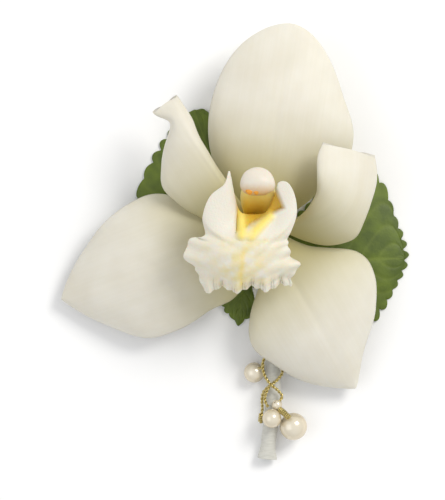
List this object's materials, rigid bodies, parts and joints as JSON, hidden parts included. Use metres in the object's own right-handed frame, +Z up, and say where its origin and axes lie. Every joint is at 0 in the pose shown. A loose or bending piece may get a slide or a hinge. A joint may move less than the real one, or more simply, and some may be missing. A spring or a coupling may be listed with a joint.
{
  "type": "orchid corsage",
  "caption": "White orchid flower on scalloped green leaves, stalks bound in floral tape, trimmed with faux pearls on gold wire; lies face up.",
  "frame": {"origin": "centre of the footprint, on the surface that the corsage lies on", "axes": "+Y from the cut end of the stem towards the hooded upper sepal, +X to the right of the flower as it faces up, +Z up out of the face"},
  "size_m": [0.1, 0.1252, 0.0368],
  "materials": {
    "white_petal": "waxy satin",
    "lip_flesh": "waxy satin, yellow towards the keels",
    "column_flesh": "satin",
    "anther": "satin",
    "pollen": "waxy",
    "stalk": "satin",
    "leaf": "satin",
    "floral_tape": "crinkled and waxed",
    "pearl": "pearl lacquer",
    "gold_wire": "bright",
    "stem_wire": "green lacquer"
  },
  "bodies": {
    "root": {"dorsal_sepal": "white_petal", "left_sepal": "white_petal", "right_sepal": "white_petal", "left_petal": "white_petal", "right_petal": "white_petal", "lip": "lip_flesh", "column": "column_flesh", "anther_cap": "anther", "left_pollinium": "pollen", "right_pollinium": "pollen", "flower_stalk": "stalk", "left_leaf": "leaf", "right_leaf": "leaf", "lower_leaf": "leaf", "stem_tape": "floral_tape", "stem_wire": "stem_wire", "left_pearl": "pearl", "centre_pearl": "pearl", "large_pearl": "pearl", "small_bead": "pearl", "inner_wire": "gold_wire", "outer_wire": "gold_wire"}
  },
  "joints": []
}
